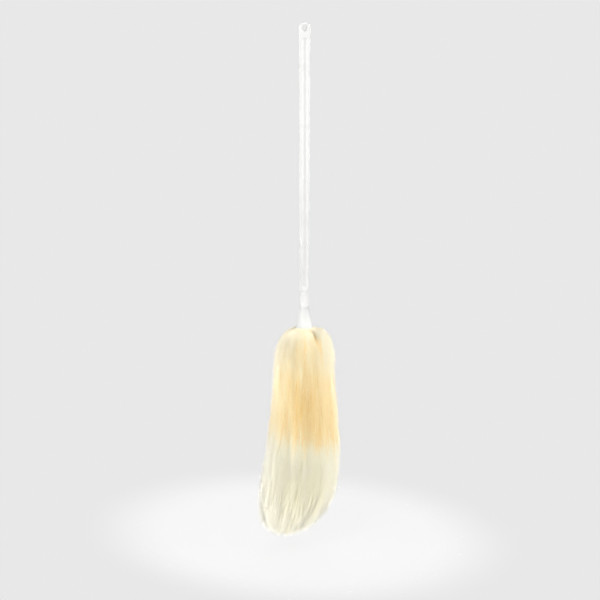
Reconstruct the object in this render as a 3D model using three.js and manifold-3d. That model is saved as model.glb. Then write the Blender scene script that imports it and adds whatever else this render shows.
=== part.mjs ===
// Lambswool duster, hanging by its handle: a moulded handle with a hanging eye, a trumpet ferrule, and a
// head of lambskin strips wound on a tube, with gold wool above and cream wool below.
// Millimetres, +Z up. The origin is the middle of the hang hole, and the broad faces look along Y.

import * as THREE from "three";
import { mergeVertices } from "three/addons/utils/BufferGeometryUtils.js";
import Module from "manifold-3d";

const wasm = await Module();
wasm.setup();

// Gap between pieces that seat in or on one another
const clearance = 0.3;

// Points closer than this are one point
const weld = 1e-4;

// Handle bar, from the hanging eye down to the shoulder above the neck
const eyeWidth = 16;
const wristWidth = 15;
const shoulderWidth = 12;
const barDepth = 11;
const barLength = 363;
const flareLength = 44;
const edgeRound = 2.4;
const shoulderSoftening = 0.8;

// Hang hole through the eye, a slot with round ends
const hangHoleWidth = 6.2;
const hangHoleHeight = 9.6;
const hangHoleRim = 1;

// Flute down the middle of each broad face: a flat floor that rolls up into a rounded ridge on either side.
// The roll is in degrees of a wave, of which 180 would lie flat in the face at its edge.
const fluteWidth = 8.8;
const fluteFloor = 2;
const fluteDepth = 1.7;
const fluteRoll = 150;
const fluteBelowHole = 7;
const fluteAboveShoulder = 4;

// Round neck below the bar, its snap bead, and the spigot that enters the core
const neckDiameter = 10.8;
const neckBare = 21;
const neckSeat = 14;
const beadHeight = 0.6;
const beadHalfWidth = 1.2;
const beadAboveSeat = 3.5;
const spigotLength = 40;
const endChamfer = 0.6;

// Trumpet ferrule
const ferruleLength = 33.5;
const throatWall = 0.9;
const skirtWall = 1.6;
const skirtRoom = 3.15;
const throatLip = 0.5;

// Core tube and the cross pin that holds it on the spigot
const coreDiameter = 10.8;
const coreWall = 1.5;
const corePinDiameter = 3;
const corePinDrop = 6;

// Lambskin strips wound on the core
const hideThickness = 1.8;
const hidePitch = 32;
const hideSeam = 0.8;
const goldHideLength = 138;
const creamHideLength = 95;
const hideJoint = 1.5;
const hideMargin = 1.2;

// Short tacks at the ends of each strip
const tackHeadDiameter = 4;
const tackHeadHeight = 0.8;
const tackShankDiameter = 1.6;
const tackSink = 0.4;
const tackInset = 7;

// Thread bound round the top of the upper strip, inside the skirt of the ferrule
const bindingThread = 1.2;
const bindingTurns = 3;
const bindingSpacing = 0.1;
const bindingMargin = 2;

// Plug in the lower end of the core
const plugHeadHeight = 4.7;
const plugShankLength = 18;

// Outer form of the wool. The fullness of the rounded end is 2 for an ellipse and more for a blunter end,
// and the hook is the share of the lean that comes late, close to the tip.
const tuftRise = 4.5;
const tuftWidth = 1.5;
const woolShoulderDrop = 45;
const goldWidth = 78;
const goldDepth = 72;
const creamWidth = 100;
const creamDepth = 92;
const tipHang = 51;
const domeHeight = 67;
const domeFullness = 2.4;
const tipFlat = 8;
const leanLength = 179;
const tipLean = 27;
const leanHook = 0.45;
const lockCount = 9;
const lockDepth = 1.6;
const lockTwist = 0.012;

// Meeting of the two colours: the gold hangs over the cream, lower on the right
const goldOverhang = 34;
const meetingTilt = 15;

// Facets
const barCurveSteps = 8;
const edgeSteps = 4;
const fluteSteps = 6;
const roundSides = 32;
const coreSides = 24;
const holeSides = 16;
const flareSteps = 8;
const rimSteps = 6;
const threadSides = 6;
const woolSides = 54;
const woolShoulderRings = 8;
const woolBodyRings = 9;
const woolDomeRings = 10;

// Heights, worked down from the hang hole
const barEnd = -barLength;
const ferruleTop = barEnd - neckBare;
const neckEnd = ferruleTop - neckSeat;
const beadLevel = neckEnd + beadAboveSeat;
const rimEnd = ferruleTop - ferruleLength;
const rimCentre = rimEnd + skirtWall / 2;
const coreTop = neckEnd - clearance;
const pinLevel = coreTop - corePinDrop;
const bindingPitch = bindingThread + bindingSpacing;
const bindingTop = rimEnd + clearance + bindingThread + bindingTurns * bindingPitch;
const goldHideTop = bindingTop + bindingMargin;
const goldHideEnd = goldHideTop - goldHideLength;
const creamHideTop = goldHideEnd - hideJoint;
const creamHideEnd = creamHideTop - creamHideLength;
const coreEnd = creamHideEnd - hideMargin;
const plugTop = coreEnd - clearance;
const plugEnd = plugTop - plugHeadHeight;
const woolTop = rimEnd + tuftRise;
const woolShoulderEnd = woolTop - woolShoulderDrop;
const woolTip = plugEnd - tipHang;
const woolFullest = woolTip + domeHeight;
const meetingLevel = goldHideEnd - hideJoint / 2;

// Radii, worked out from the core and the neck
const neckRadius = neckDiameter / 2;
const coreRadius = coreDiameter / 2;
const coreBore = coreRadius - coreWall;
const spigotRadius = coreBore - clearance;
const hideInner = coreRadius + clearance;
const hideOuter = hideInner + hideThickness;
const pileBore = hideOuter + clearance;
const ferruleBore = neckRadius + clearance;
const throatRadius = ferruleBore + throatWall;
const rimRadius = pileBore + bindingThread + skirtRoom + skirtWall;

const white = new THREE.MeshStandardMaterial({ color: 0xf4f4f2, roughness: 0.3, metalness: 0 });
const tubeGrey = new THREE.MeshStandardMaterial({ color: 0xcfc6b4, roughness: 0.7, metalness: 0 });
const steel = new THREE.MeshStandardMaterial({ color: 0xb4b6ba, roughness: 0.35, metalness: 1 });
const hide = new THREE.MeshStandardMaterial({ color: 0xe6d6bd, roughness: 0.8, metalness: 0 });
const thread = new THREE.MeshStandardMaterial({ color: 0xe9e4d6, roughness: 0.9, metalness: 0 });
const goldWool = new THREE.MeshStandardMaterial({ color: 0xf3d6a0, roughness: 0.95, metalness: 0 });
const creamWool = new THREE.MeshStandardMaterial({ color: 0xebe7cf, roughness: 0.95, metalness: 0 });

// A closed geometry as a solid that can be joined and cut
function solid(geometry) {
  geometry.deleteAttribute("normal");
  geometry.deleteAttribute("uv");
  const welded = mergeVertices(geometry, weld);
  return new wasm.Manifold(
    new wasm.Mesh({
      numProp: 3,
      vertProperties: welded.attributes.position.array,
      triVerts: new Uint32Array(welded.index.array),
    }),
  );
}

// The geometry of a joined or cut solid
function shape(manifold) {
  const mesh = manifold.getMesh();
  const geometry = new THREE.BufferGeometry();
  geometry.setAttribute("position", new THREE.BufferAttribute(mesh.vertProperties, mesh.numProp));
  geometry.setIndex(new THREE.BufferAttribute(mesh.triVerts, 1));
  return geometry;
}

// A profile of [radius, height] pairs turned about Z: the outside runs upwards
function revolve(profile, sides) {
  const points = profile.map(([radius, height]) => new THREE.Vector2(radius, height));
  return new THREE.LatheGeometry(points, sides).rotateX(Math.PI / 2);
}

// A ring of section height between two levels and two radii
function sleeve(inner, outer, bottom, top, sides) {
  const profile = [[inner, bottom], [outer, bottom], [outer, top], [inner, top], [inner, bottom]];
  return revolve(profile, sides);
}

// A closed skin through rings of points, each seen anticlockwise from the ring after it
function loft(rings) {
  const count = rings[0].length;
  const last = (rings.length - 1) * count;
  const faces = [];
  for (let start = 0; start < last; start += count) {
    for (let i = 0; i < count; i++) {
      const j = (i + 1) % count;
      const next = start + count;
      faces.push(start + i, start + j, next + j);
      faces.push(start + i, next + j, next + i);
    }
  }
  for (let i = 1; i + 1 < count; i++) {
    faces.push(0, i + 1, i);
    faces.push(last, last + i, last + i + 1);
  }
  const geometry = new THREE.BufferGeometry().setFromPoints(rings.flat());
  geometry.setIndex(faces);
  return geometry;
}

// Points of a rounded ridge on a turned profile, from the lower edge to the upper
function ridge(radius, level, halfWidth, height) {
  const steps = [-1, -0.5, 0, 0.5, 1];
  return steps.map((s) => [radius + height * Math.cos((s * Math.PI) / 2), level + s * halfWidth]);
}

// A round cutter along X at a given level
function crossHole(radius, length, level) {
  const cutter = new THREE.CylinderGeometry(radius, radius, length, holeSides);
  return cutter.rotateZ(Math.PI / 2).translate(0, 0, level);
}

// Handle

function barOutline() {
  const eye = eyeWidth / 2;
  const wrist = wristWidth / 2;
  const shoulder = shoulderWidth / 2;
  const corner = edgeRound + shoulderSoftening;
  const taper = (wrist - shoulder) / (barLength - flareLength);
  const third = flareLength / 3;
  const outline = new THREE.Shape();
  outline.absarc(0, 0, eye, 0, Math.PI, false);
  outline.bezierCurveTo(-eye, -third, -wrist - taper * third, -2 * third, -wrist, -flareLength);
  outline.lineTo(-shoulder, barEnd + corner);
  outline.absarc(corner - shoulder, barEnd + corner, corner, Math.PI, 1.5 * Math.PI, false);
  outline.absarc(shoulder - corner, barEnd + corner, corner, 1.5 * Math.PI, 2 * Math.PI, false);
  outline.lineTo(wrist, -flareLength);
  outline.bezierCurveTo(wrist + taper * third, -2 * third, eye, -third, eye, 0);
  return outline;
}

// An outline in X and Z pushed through along Y, evenly about the middle
function pushThrough(outline, thickness, bevelThickness, bevelSize, bevelSegments) {
  const geometry = new THREE.ExtrudeGeometry(outline, {
    depth: thickness - 2 * bevelThickness,
    bevelThickness,
    bevelSize,
    bevelOffset: -bevelSize,
    bevelSegments,
    curveSegments: barCurveSteps,
  });
  return geometry.translate(0, 0, bevelThickness - thickness / 2).rotateX(Math.PI / 2);
}

function neckAndSpigot() {
  const spigotEnd = neckEnd - spigotLength;
  const root = barEnd + shoulderWidth / 2;
  const profile = [
    [0, spigotEnd],
    [spigotRadius - endChamfer, spigotEnd],
    [spigotRadius, spigotEnd + endChamfer],
    [spigotRadius, neckEnd],
    [neckRadius - endChamfer, neckEnd],
    [neckRadius, neckEnd + endChamfer],
    ...ridge(neckRadius, beadLevel, beadHalfWidth, beadHeight),
    [neckRadius, root],
    [0, root],
  ];
  return revolve(profile, roundSides);
}

// A flared slot: the rim of the hole is rounded where it leaves each face
function hangHole() {
  const end = hangHoleWidth / 2;
  const rise = (hangHoleHeight - hangHoleWidth) / 2;
  const slot = new THREE.Shape();
  slot.absarc(0, rise, end, 0, Math.PI, false);
  slot.absarc(0, -rise, end, Math.PI, 2 * Math.PI, false);
  return pushThrough(slot, barDepth, hangHoleRim, -hangHoleRim, edgeSteps);
}

// A long round-ended outline in X and Z at one depth of the flute in the back face
function fluteRing(halfWidth, y) {
  const top = -hangHoleHeight / 2 - fluteBelowHole - fluteWidth / 2;
  const bottom = barEnd + fluteAboveShoulder + fluteWidth / 2;
  const arc = (from, level) =>
    levels(from, from + Math.PI, barCurveSteps).map(
      (turn) => new THREE.Vector3(-halfWidth * Math.cos(turn), y, level + halfWidth * Math.sin(turn)),
    );
  return [...arc(0, top), ...arc(Math.PI, bottom)];
}

// The cutter of the flute in the back face, from its floor up its rolled sides and out through the face
function flute() {
  const face = barDepth / 2;
  const roll = THREE.MathUtils.degToRad(fluteRoll);
  const rings = levels(0, roll, fluteSteps).map((turn) => {
    const depth = (fluteDepth * (Math.cos(turn) - Math.cos(roll))) / (1 - Math.cos(roll));
    return fluteRing((fluteFloor + ((fluteWidth - fluteFloor) * turn) / roll) / 2, face - depth);
  });
  rings.push(fluteRing(fluteWidth / 2, face + fluteDepth));
  return loft(rings);
}

function handle() {
  const bar = solid(pushThrough(barOutline(), barDepth, edgeRound, edgeRound, edgeSteps));
  const pinHole = crossHole(corePinDiameter / 2 + clearance, coreDiameter, pinLevel);
  const whole = bar.add(solid(neckAndSpigot()));
  return whole
    .subtract(solid(hangHole()))
    .subtract(solid(flute()))
    .subtract(solid(flute().rotateZ(Math.PI)))
    .subtract(solid(pinHole));
}

// Ferrule

// Outer radius of the trumpet: straight at the throat, opening as a parabola to the rim
function trumpetRadius(level) {
  const down = (ferruleTop - level) / (ferruleTop - rimCentre);
  return throatRadius + (rimRadius - throatRadius) * down ** 2;
}

function levels(from, to, steps) {
  return Array.from({ length: steps + 1 }, (_, i) => from + ((to - from) * i) / steps);
}

function ferrule() {
  const outside = levels(rimCentre, ferruleTop - throatLip, flareSteps);
  const inside = levels(neckEnd, rimCentre, flareSteps);
  const groove = ridge(ferruleBore, beadLevel, beadHalfWidth + clearance, beadHeight).reverse();
  const rim = levels(Math.PI, 2 * Math.PI, rimSteps).slice(1);
  const profile = [
    ...outside.map((level) => [trumpetRadius(level), level]),
    [throatRadius - throatLip, ferruleTop],
    [ferruleBore, ferruleTop],
    ...groove,
    [ferruleBore, neckEnd],
    ...inside.map((level) => [trumpetRadius(level) - skirtWall, level]),
    ...rim.map((turn) => [
      rimRadius - (skirtWall / 2) * (1 - Math.cos(turn)),
      rimCentre + (skirtWall / 2) * Math.sin(turn),
    ]),
  ];
  return solid(revolve(profile, roundSides));
}

// The room that the ferrule takes out of the wool
function ferruleRoom() {
  const outside = levels(rimCentre, ferruleTop, flareSteps);
  const profile = [
    [0, rimEnd - clearance],
    [rimRadius + clearance, rimEnd - clearance],
    ...outside.map((level) => [trumpetRadius(level) + clearance, level]),
    [0, ferruleTop],
  ];
  return solid(revolve(profile, roundSides));
}

// Core, strips, tacks, binding and plug

// Where a tack goes: half a turn from the seam of its strip, a set distance from the end of the strip
function tackPlace(stripTop, below) {
  const angle = (2 * Math.PI * (below + hideSeam / 2)) / hidePitch + Math.PI;
  const outwards = new THREE.Vector3(Math.cos(angle), Math.sin(angle), 0);
  const turn = new THREE.Quaternion().setFromUnitVectors(new THREE.Vector3(0, 0, 1), outwards);
  const place = outwards.clone().multiplyScalar(hideOuter - tackSink).setZ(stripTop - below);
  return new THREE.Matrix4().compose(place, turn, new THREE.Vector3(1, 1, 1));
}

const tackPlaces = new Map([
  ["gold_strip_tack_top", tackPlace(goldHideTop, tackInset)],
  ["gold_strip_tack_bottom", tackPlace(goldHideTop, goldHideLength - tackInset)],
  ["cream_strip_tack_top", tackPlace(creamHideTop, tackInset)],
  ["cream_strip_tack_bottom", tackPlace(creamHideTop, creamHideLength - tackInset)],
]);

// A flat-headed tack with its head at height 0; its hole is the same form, wider and open at both ends
function tack(room, proud, deeper) {
  const headEnd = -tackHeadHeight - room;
  const tip = coreBore + clearance - (hideOuter - tackSink) - deeper;
  const head = tackHeadDiameter / 2 + room;
  const shank = tackShankDiameter / 2 + room;
  const profile = [[0, tip], [shank, tip], [shank, headEnd], [head, headEnd], [head, proud], [0, proud]];
  return revolve(profile, holeSides);
}

function withoutTackHoles(piece) {
  const holes = [...tackPlaces.values()].map((place) =>
    solid(tack(clearance, tackSink + hideThickness, coreWall).applyMatrix4(place)),
  );
  return holes.reduce((left, hole) => left.subtract(hole), piece);
}

function coreTube() {
  const tube = solid(sleeve(coreBore, coreRadius, coreEnd, coreTop, coreSides));
  const pinHole = crossHole(corePinDiameter / 2 + clearance, 2 * coreDiameter, pinLevel);
  return withoutTackHoles(tube.subtract(solid(pinHole)));
}

function corePin() {
  return crossHole(corePinDiameter / 2, coreDiameter, pinLevel);
}

// One strip wound round the core from top to bottom, with its ends trimmed square to the core
function woundStrip(top, end) {
  const turns = 1 + (top - end) / hidePitch;
  const steps = Math.ceil(turns * coreSides);
  const rings = levels(0, steps, steps).map((step) => {
    const angle = (2 * Math.PI * step) / coreSides;
    const upper = top + hidePitch - (hidePitch * step) / coreSides;
    const lower = upper - hidePitch + hideSeam;
    const corner = (radius, level) =>
      new THREE.Vector3(radius * Math.cos(angle), radius * Math.sin(angle), level);
    return [
      corner(hideInner, upper),
      corner(hideOuter, upper),
      corner(hideOuter, lower),
      corner(hideInner, lower),
    ];
  });
  const trim = sleeve(coreBore, hideOuter + hideThickness, end, top, coreSides);
  return withoutTackHoles(solid(loft(rings)).intersect(solid(trim)));
}

class Winding extends THREE.Curve {
  getPoint(t) {
    const angle = 2 * Math.PI * bindingTurns * t;
    const radius = hideOuter + clearance + bindingThread / 2;
    const level = bindingTop - bindingThread / 2 - bindingPitch * bindingTurns * t;
    return new THREE.Vector3(radius * Math.cos(angle), radius * Math.sin(angle), level);
  }
}

function neckBinding() {
  const section = new THREE.Shape();
  section.absarc(0, 0, bindingThread / 2, 0, 2 * Math.PI, false);
  return new THREE.ExtrudeGeometry(section, {
    extrudePath: new Winding(),
    steps: bindingTurns * coreSides,
    curveSegments: threadSides / 2,
    bevelEnabled: false,
  });
}

function tipPlug() {
  const shank = coreBore - clearance;
  const dome = levels(0, Math.PI / 2, rimSteps);
  const profile = [
    ...dome.map((turn) => [hideOuter * Math.sin(turn), plugTop - plugHeadHeight * Math.cos(turn)]),
    [shank, plugTop],
    [shank, plugTop + plugShankLength - endChamfer],
    [shank - endChamfer, plugTop + plugShankLength],
    [0, plugTop + plugShankLength],
  ];
  return revolve(profile, coreSides);
}

// Wool

// One level ring of the wool: an oval that leans to the left near the tip, with soft lengthwise locks
function woolRing(level, halfWidth, halfDepth) {
  const run = Math.max(0, woolTip + leanLength - level) / leanLength;
  const middle = -tipLean * ((1 - leanHook) * run ** 2 + leanHook * run ** 4);
  const ripple = (2 * lockDepth) / creamWidth;
  return levels(0, woolSides - 1, woolSides - 1).map((step) => {
    const angle = (2 * Math.PI * step) / woolSides;
    const swell = 1 + ripple * Math.sin(lockCount * angle + lockTwist * level);
    const x = middle + halfWidth * swell * Math.cos(angle);
    return new THREE.Vector3(x, halfDepth * swell * Math.sin(angle), level);
  });
}

function woolForm() {
  const start = rimRadius + tuftWidth;
  const power = 2 / domeFullness;
  const nearTip = Math.acos((tipFlat / creamWidth) ** (1 / power));
  const rings = [];
  for (const turn of levels(nearTip, 0, woolDomeRings)) {
    const level = woolFullest - domeHeight * Math.sin(turn) ** power;
    const share = Math.cos(turn) ** power;
    rings.push(woolRing(level, (creamWidth / 2) * share, (creamDepth / 2) * share));
  }
  for (const level of levels(woolFullest, woolShoulderEnd, woolBodyRings).slice(1)) {
    const rise = (level - woolFullest) / (woolShoulderEnd - woolFullest);
    const ease = rise ** 2 * (3 - 2 * rise);
    const width = creamWidth + (goldWidth - creamWidth) * ease;
    const depth = creamDepth + (goldDepth - creamDepth) * ease;
    rings.push(woolRing(level, width / 2, depth / 2));
  }
  for (const turn of levels(Math.PI / 2, 0, woolShoulderRings).slice(1)) {
    const level = woolTop - woolShoulderDrop * (1 - Math.cos(turn));
    const halfWidth = start + (goldWidth / 2 - start) * Math.sin(turn);
    const halfDepth = start + (goldDepth / 2 - start) * Math.sin(turn);
    rings.push(woolRing(level, halfWidth, halfDepth));
  }
  return solid(loft(rings));
}

// All that lies above the tilted cone where the gold wool hangs over the cream
function aboveMeeting(raise) {
  const reach = creamWidth;
  const slope = goldOverhang / (creamWidth / 2 - pileBore);
  const edge = slope * (pileBore - reach);
  const above = woolTop - woolTip;
  const cone = revolve([[0, slope * pileBore], [reach, edge], [reach, above], [0, above]], roundSides);
  cone.rotateY(THREE.MathUtils.degToRad(meetingTilt));
  return solid(cone.translate(0, 0, meetingLevel + raise));
}

// The room in the wool for the core, the strips and the plug
function coreRoom() {
  const bottom = plugEnd - clearance;
  const profile = [[0, bottom], [pileBore, bottom], [pileBore, ferruleTop], [0, ferruleTop]];
  return solid(revolve(profile, coreSides));
}

const woolAroundCore = woolForm().subtract(ferruleRoom()).subtract(coreRoom());

// The duster

const duster = new THREE.Group();

function addPiece(name, geometry, material) {
  const mesh = new THREE.Mesh(geometry, material);
  mesh.name = name;
  duster.add(mesh);
  return mesh;
}

addPiece("handle", shape(handle()), white);
addPiece("ferrule", shape(ferrule()), white);
addPiece("core_tube", shape(coreTube()), tubeGrey);
addPiece("core_pin", corePin(), steel);
addPiece("tip_plug", tipPlug(), white);
addPiece("gold_hide_strip", shape(woundStrip(goldHideTop, goldHideEnd)), hide);
addPiece("cream_hide_strip", shape(woundStrip(creamHideTop, creamHideEnd)), hide);
addPiece("neck_binding", neckBinding(), thread);
for (const [name, place] of tackPlaces) {
  addPiece(name, tack(0, 0, 0), steel).applyMatrix4(place);
}
addPiece("gold_wool", shape(woolAroundCore.intersect(aboveMeeting(clearance / 2))), goldWool);
addPiece("cream_wool", shape(woolAroundCore.subtract(aboveMeeting(-clearance / 2))), creamWool);

export default duster;
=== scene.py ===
import math

import bpy
import numpy as np
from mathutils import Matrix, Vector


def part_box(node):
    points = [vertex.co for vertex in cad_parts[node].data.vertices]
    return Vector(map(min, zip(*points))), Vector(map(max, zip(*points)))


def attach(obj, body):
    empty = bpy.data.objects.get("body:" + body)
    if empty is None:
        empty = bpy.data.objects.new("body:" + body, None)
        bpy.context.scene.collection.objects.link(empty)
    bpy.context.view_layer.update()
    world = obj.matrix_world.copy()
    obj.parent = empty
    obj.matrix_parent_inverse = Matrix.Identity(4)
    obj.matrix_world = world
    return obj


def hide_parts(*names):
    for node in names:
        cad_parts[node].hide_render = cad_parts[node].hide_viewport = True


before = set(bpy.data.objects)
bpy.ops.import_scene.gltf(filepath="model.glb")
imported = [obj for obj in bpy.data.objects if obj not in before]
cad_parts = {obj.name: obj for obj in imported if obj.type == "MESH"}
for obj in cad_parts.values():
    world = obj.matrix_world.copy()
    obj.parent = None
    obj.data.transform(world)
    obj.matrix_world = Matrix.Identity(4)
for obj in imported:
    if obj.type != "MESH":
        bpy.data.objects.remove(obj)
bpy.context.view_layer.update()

handle_low, handle_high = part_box("handle")
ferrule_low, ferrule_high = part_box("ferrule")
pin_low, pin_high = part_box("core_pin")
scene = bpy.context.scene
scene.view_settings.view_transform = "Standard"

# Metres, in the frame of the solids: the origin is the middle of the hang hole and +Z runs up the handle
MM = 0.001

# Points closer than this are in one place
TOUCH = 1e-6

# Gap between pieces that seat in or on one another
CLEARANCE = 0.3 * MM

# Trumpet ferrule
FERRULE_TOP = ferrule_high.z
FERRULE_RIM = ferrule_high.x
FERRULE_WALL = 1.6 * MM
FERRULE_LIP = 0.5 * MM
FERRULE_RIM_LEVEL = ferrule_low.z + FERRULE_WALL / 2
FERRULE_SIDES = 96
FERRULE_STEPS = 20
FERRULE_RIM_STEPS = 8

# Neck in the ferrule, spigot in the core, and the hole for the cross pin
NECK_RADIUS = 5.4 * MM
NECK_BARE = 21.0 * MM
NECK_SEAT = 14.0 * MM
NECK_ROOT = 3.0 * MM
NECK_END = FERRULE_TOP - NECK_SEAT
NECK_SIDES = 64
FERRULE_BORE = NECK_RADIUS + CLEARANCE
FERRULE_THROAT = FERRULE_BORE + 0.9 * MM
SPIGOT_RADIUS = 3.6 * MM
SPIGOT_END = handle_low.z
END_CHAMFER = 0.6 * MM
PIN_LEVEL = (pin_low.z + pin_high.z) / 2
PIN_HOLE_RADIUS = pin_high.y + CLEARANCE
PIN_HOLE_SIDES = 24

# Handle bar, from the hanging eye down to the shoulder above the neck
EYE_RADIUS = handle_high.x
EYE_SIDES = 64
WRIST_HALF = 7.5 * MM
SHOULDER_HALF = 6.0 * MM
BAR_HALF_DEPTH = 5.5 * MM
BAR_END = FERRULE_TOP + NECK_BARE
FLARE_LENGTH = 44.0 * MM
FLARE_STEPS = 11
EDGE_ROUND = 2.4 * MM
EDGE_STEPS = 6

# Hang hole and flutes. The roll is the part of a half wave that each side of a flute rises through
HOLE_RADIUS = 3.1 * MM
HOLE_RISE = 1.7 * MM
HOLE_RIM = 1.0 * MM
HOLE_RIM_STEPS = 6
FLUTE_HALF_WIDTH = 4.4 * MM
FLUTE_HALF_FLOOR = 1.0 * MM
FLUTE_DEPTH = 1.7 * MM
FLUTE_ROLL = math.radians(150.0)
FLUTE_TOP = -11.8 * MM
FLUTE_END = BAR_END + 4.0 * MM
FLUTE_STEPS = 9
CUTTER_SIDES = 50

# Outer form of the wool, level by level. The fullness of the end is 2 for an ellipse and more for a
# blunter end, and the hook is the share of the lean that comes late, close to the tip
WOOL_TOP = -413.6 * MM
COLLAR_RISE = 1.2 * MM
COLLAR_GAP = 0.7 * MM
SHOULDER_DROP = 45.0 * MM
GOLD_HALF_WIDTH = 39.0 * MM
GOLD_HALF_DEPTH = 36.0 * MM
CREAM_HALF_WIDTH = 50.0 * MM
CREAM_HALF_DEPTH = 46.0 * MM
FULLEST = -634.8 * MM
DOME_HEIGHT = 67.0 * MM
DOME_FULLNESS = 2.4
WOOL_TIP = FULLEST - DOME_HEIGHT
PATH_OVERRUN = 30.0 * MM
COLLAR_POINTS = 8
SHOULDER_POINTS = 40
BODY_POINTS = 80
HANG_POINTS = 40
LEAN_LENGTH = 179.0 * MM
TIP_LEAN = 27.0 * MM
LEAN_HOOK = 0.45
LOCK_WAVES = 9
LOCK_SWELL = 0.025
LOCK_TWIST = 12.0

# Meeting of the two colours on the outside, lower on the right
MEETING_LEVEL = -585.0 * MM
MEETING_SLOPE = 0.2
MEETING_RISE = 9.0 * MM
MEETING_SCATTER = 10.0 * MM
MEETING_FADE = 24.0 * MM

# Dense fleece under the locks, and its bore round the core and the strips
FLEECE_INSET = 4.8 * MM
FLEECE_TOP_DROP = 4.2 * MM
FLEECE_END_RISE = 5.0 * MM
FLEECE_MEETING_RISE = 10.0 * MM
FLEECE_SIDES = 144
FLEECE_RINGS = 96
FLEECE_END_OPENING = 20.0
PILE_BORE = 8.1 * MM
PILE_BORE_END = -652.0 * MM
PILE_BORE_LENGTH = 300.0 * MM
PILE_BORE_SIDES = 32

# Camera, floor and the pool of light on it, whose reach is in shares of its half width and depth
CAMERA_TURN = math.radians(-6.0)
CAMERA_RISE = math.radians(12.0)
CAMERA_DISTANCE = 6.0
FRAME_WIDTH = 0.8185
SENSOR_WIDTH = 36.0
CAMERA_REACH = 50.0
AIM_LEVEL = -0.3750
AIM_LEFT = 0.0060
FLOOR_LEVEL = -0.722
FLOOR_BACK = 0.06
FLOOR_RADIUS = 0.62
POOL_HALF_WIDTH = 0.265
POOL_HALF_DEPTH = 0.355
POOL_TURN = math.radians(10.0)
POOL_FULL = 0.65
POOL_EDGE = 1.15
POOL_GLOW = 0.83
FLOOR_GREY = 0.13


# Small tools

def deselect_all():
    if bpy.context.object and bpy.context.object.mode != "OBJECT":
        bpy.ops.object.mode_set(mode="OBJECT")
    bpy.ops.object.select_all(action="DESELECT")


def make_active(piece):
    deselect_all()
    piece.select_set(True)
    bpy.context.view_layer.objects.active = piece


def enter_edit(piece):
    make_active(piece)
    bpy.ops.object.mode_set(mode="EDIT")


def leave_edit():
    bpy.ops.object.mode_set(mode="OBJECT")


def clear_selection(piece, mode):
    enter_edit(piece)
    bpy.ops.mesh.select_mode(type=mode)
    bpy.ops.mesh.select_all(action="DESELECT")
    leave_edit()


def select_vertices(piece, chosen):
    """Leave piece in edit mode with the vertices that chosen(position) picks selected."""
    clear_selection(piece, "VERT")
    for vertex in piece.data.vertices:
        vertex.select = bool(chosen(vertex.co))
    enter_edit(piece)


def select_edges(piece, chosen):
    """Leave piece in edit mode with the edges that chosen(one end, other end) picks selected."""
    clear_selection(piece, "EDGE")
    points = piece.data.vertices
    for edge in piece.data.edges:
        first, second = edge.vertices
        edge.select = bool(chosen(points[first].co, points[second].co))
    enter_edit(piece)


def close_seams():
    """In edit mode, merge doubled points and turn every face outwards, and leave edit mode."""
    bpy.ops.mesh.select_all(action="SELECT")
    bpy.ops.mesh.remove_doubles(threshold=TOUCH)
    bpy.ops.mesh.normals_make_consistent(inside=False)
    leave_edit()


def rename(piece, name):
    piece.name = name
    piece.data.name = name


def settle(piece):
    """Take the place and turn of a piece into its mesh."""
    make_active(piece)
    bpy.ops.object.transform_apply(location=True, rotation=True, scale=True)


def apply_modifier(piece, modifier):
    make_active(piece)
    bpy.ops.object.modifier_apply(modifier=modifier.name)


def combine(piece, other, operation):
    """Join other to piece, or cut it away, and remove it."""
    modifier = piece.modifiers.new("combine", "BOOLEAN")
    modifier.operation = operation
    modifier.object = other
    modifier.solver = "EXACT"
    apply_modifier(piece, modifier)
    bpy.data.objects.remove(other)


def finish_piece(piece, material, node):
    piece.data.materials.clear()
    piece.data.materials.append(material)
    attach(piece, "root")
    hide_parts(node)


def turned(name, profile, sides, closed_ring):
    """A turned piece: a circle extruded and resized from one (radius, level) of the profile to the next."""
    deselect_all()
    radius, level = profile[0]
    fill = "NOTHING" if closed_ring else "NGON"
    bpy.ops.mesh.primitive_circle_add(vertices=sides, radius=radius, fill_type=fill, location=(0, 0, level))
    piece = bpy.context.object
    rename(piece, name)
    settle(piece)
    enter_edit(piece)
    bpy.ops.mesh.select_mode(type="EDGE" if closed_ring else "FACE")
    bpy.ops.mesh.select_all(action="SELECT")
    for next_radius, next_level in profile[1:]:
        step = {"value": (0, 0, next_level - level)}
        if closed_ring:
            bpy.ops.mesh.extrude_edges_move(TRANSFORM_OT_translate=step)
        else:
            bpy.ops.mesh.extrude_region_move(TRANSFORM_OT_translate=step)
        ratio = next_radius / radius
        bpy.ops.transform.resize(value=(ratio, ratio, 1), center_override=(0, 0, next_level))
        radius, level = next_radius, next_level
    close_seams()
    return piece


def soft_shading(piece, degrees):
    """Smooth shading with crisp edges, weighted by face so that broad flats stay flat."""
    make_active(piece)
    bpy.ops.object.shade_smooth_by_angle(angle=math.radians(degrees))
    modifier = piece.modifiers.new("flats", "WEIGHTED_NORMAL")
    modifier.keep_sharp = True
    apply_modifier(piece, modifier)


# Node groups

COLOUR = "NodeSocketColor"
NUMBER = "NodeSocketFloat"


def new_group(name, inputs, outputs):
    """A node group. An input that starts as a tuple is a colour, and any other is a number."""
    group = bpy.data.node_groups.new(name, "ShaderNodeTree")
    for label, value in inputs.items():
        kind = COLOUR if isinstance(value, tuple) else NUMBER
        socket = group.interface.new_socket(name=label, in_out="INPUT", socket_type=kind)
        socket.default_value = value
    for label, kind in outputs.items():
        group.interface.new_socket(name=label, in_out="OUTPUT", socket_type=kind)
    start = group.nodes.new("NodeGroupInput")
    end = group.nodes.new("NodeGroupOutput")
    return group, start, end


def feed(tree, socket, value):
    """Give a socket a plain value, or the output of another node."""
    if isinstance(value, (int, float, tuple)):
        socket.default_value = value
    else:
        tree.links.new(value, socket)


def feed_all(tree, node, inputs):
    for label, value in inputs.items():
        feed(tree, node.inputs[label], value)


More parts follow.
